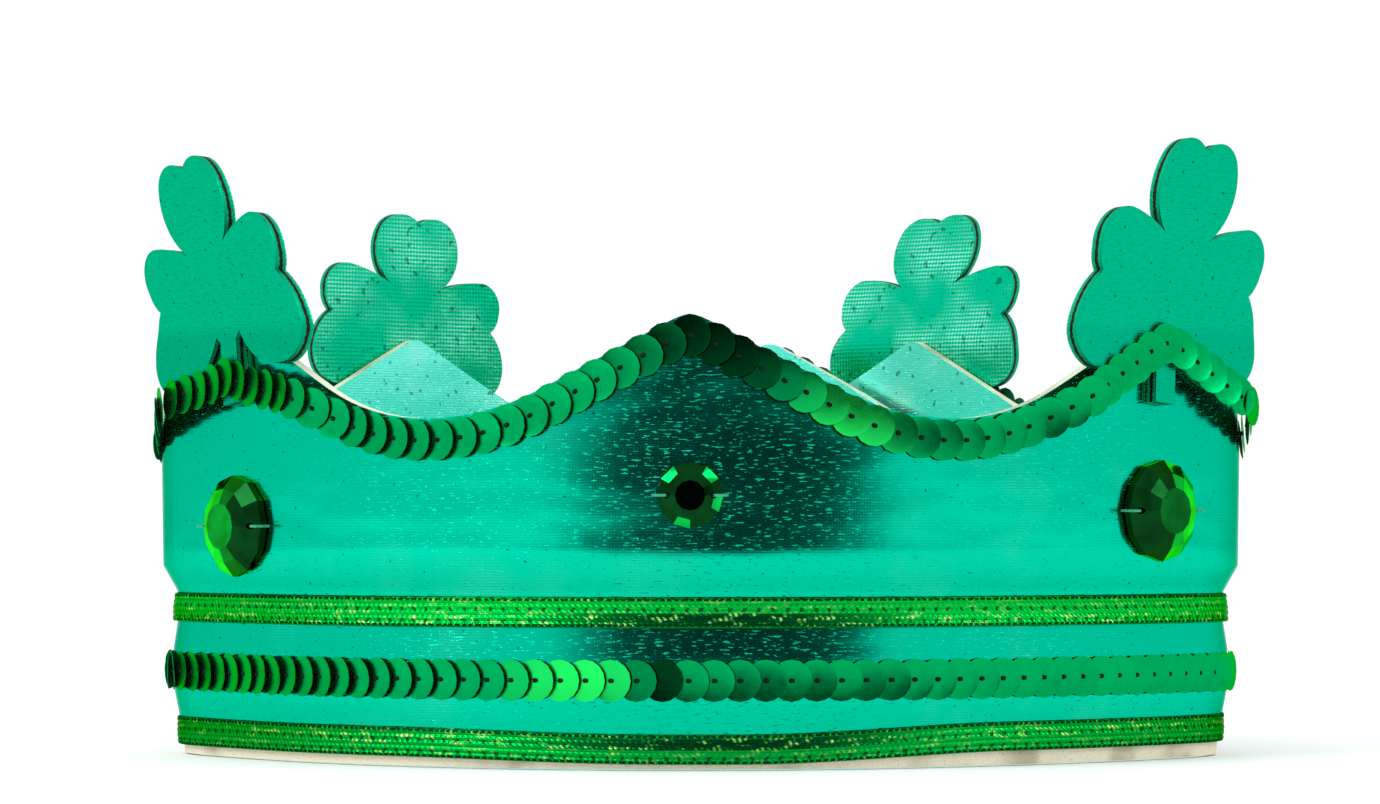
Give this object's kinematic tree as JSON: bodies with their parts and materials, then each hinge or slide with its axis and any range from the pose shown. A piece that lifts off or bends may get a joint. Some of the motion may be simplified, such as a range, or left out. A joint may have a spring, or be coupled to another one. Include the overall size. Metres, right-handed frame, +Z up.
{
  "type": "costume crown",
  "caption": "Dressing-up crown of foil-faced foam with a wavy top edge, sequin strings, braid trims, sewn gems and shamrocks.",
  "frame": {"origin": "centre of the bounding box on the plane the crown stands on", "axes": "+X across the crown to the right as seen from the front, +Y from the front to the back, +Z up"},
  "size_m": [0.2243, 0.1738, 0.1217],
  "materials": {
    "outer_foil": "metallic foil cloth",
    "inner_foil": "metallic foil cloth, woven side",
    "foam": "open foam, cream",
    "braid": "woven metallic thread",
    "sequin": "metallised film",
    "gem": "clear green acrylic with a mirrored back",
    "thread": "fine polyester thread",
    "closure": "hook and loop tape"
  },
  "bodies": {
    "root": {"band_outer_foil": "outer_foil", "band_foam": "foam", "band_inner_foil": "inner_foil", "hem_braid": "braid", "upper_braid": "braid", "loop_patch": "closure", "hook_patch": "closure", "crest_sequins": "sequin", "band_sequins": "sequin", "gem_stitches": "thread", "front_gem": "gem", "left_gem": "gem", "right_gem": "gem", "rear_left_gem": "gem", "rear_right_gem": "gem", "back_gem": "gem", "shamrock_left": "foam", "shamrock_left_face": "outer_foil", "shamrock_left_back": "inner_foil", "shamrock_right": "foam", "shamrock_right_face": "outer_foil", "shamrock_right_back": "inner_foil", "shamrock_rear_left": "foam", "shamrock_rear_left_face": "outer_foil", "shamrock_rear_left_back": "inner_foil", "shamrock_rear_right": "foam", "shamrock_rear_right_face": "outer_foil", "shamrock_rear_right_back": "inner_foil"}
  },
  "joints": []
}
